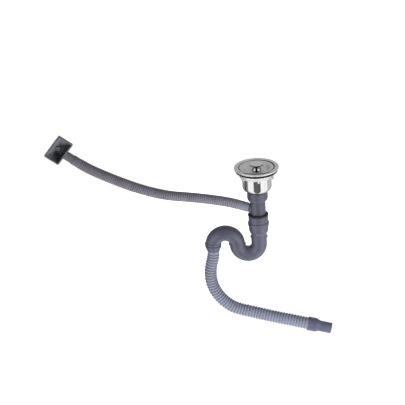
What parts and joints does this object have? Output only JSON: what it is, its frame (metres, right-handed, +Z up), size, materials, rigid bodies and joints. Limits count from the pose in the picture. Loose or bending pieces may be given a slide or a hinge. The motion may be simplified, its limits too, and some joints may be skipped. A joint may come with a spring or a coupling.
{
  "type": "kitchen sink drain",
  "caption": "Kitchen sink drain: steel strainer with lid and basket, tailpiece with overflow hose and head, S-bend trap and ribbed waste hose.",
  "frame": {"origin": "centre of the sink's hole, on the sink's upper surface, where the lip of the flange sits", "axes": "+Z up along the drain's axis; the trap and both hoses lie in the XZ plane, the overflow towards -X, its face towards -Y"},
  "size_m": [0.7176, 0.114, 0.5831],
  "materials": {
    "strainer_steel": "polished stainless steel",
    "lid_steel": "stainless steel, brushed in rings",
    "knob_steel": "turned stainless steel",
    "screw_steel": "zinc plated",
    "black_rubber": "moulded rubber",
    "white_plastic": "natural white moulding",
    "grey_plastic": "semi-gloss moulding",
    "waste_hose_plastic": "ribbed, semi-gloss",
    "overflow_hose_plastic": "finely ribbed, semi-gloss",
    "head_plastic": "satin moulding",
    "insert_brass": "turned, nickel plated"
  },
  "bodies": {
    "strainer": {"strainer_bowl": "strainer_steel", "strainer_basket": "strainer_steel", "lid": "lid_steel", "lid_knob": "knob_steel", "knob_screw": "screw_steel", "flange_gasket": "black_rubber", "friction_ring": "white_plastic", "lock_nut": "white_plastic", "union_nut": "grey_plastic", "union_seal": "black_rubber"},
    "tailpiece": {"tailpiece": "grey_plastic", "overflow_hose": "overflow_hose_plastic", "overflow_head": "head_plastic", "overflow_gasket": "black_rubber", "cover_screw_insert": "insert_brass"},
    "slip_joint": {"slip_seal": "black_rubber", "slip_nut": "grey_plastic"},
    "trap": {"trap_bend": "grey_plastic"},
    "waste_line": {"outlet_nut": "grey_plastic", "outlet_seal": "black_rubber", "waste_hose": "waste_hose_plastic", "end_adaptor": "grey_plastic"}
  },
  "joints": [
    {"name": "tailpiece_swivel", "type": "hinge", "parent": "strainer", "child": "tailpiece", "pos_m": [0, 0, -0.0835], "axis": [0, 0, 1], "continuous": true},
    {"name": "trap_height", "type": "slide", "parent": "tailpiece", "child": "slip_joint", "axis": [0, 0, 1], "range_m": [-0.018, 0.003]},
    {"name": "trap_swivel", "type": "hinge", "parent": "slip_joint", "child": "trap", "pos_m": [0, 0, -0.149], "axis": [0, 0, 1], "continuous": true},
    {"name": "hose_swivel", "type": "hinge", "parent": "trap", "child": "waste_line", "pos_m": [-0.1176, 0, -0.212], "axis": [0, 0, 1], "continuous": true}
  ]
}
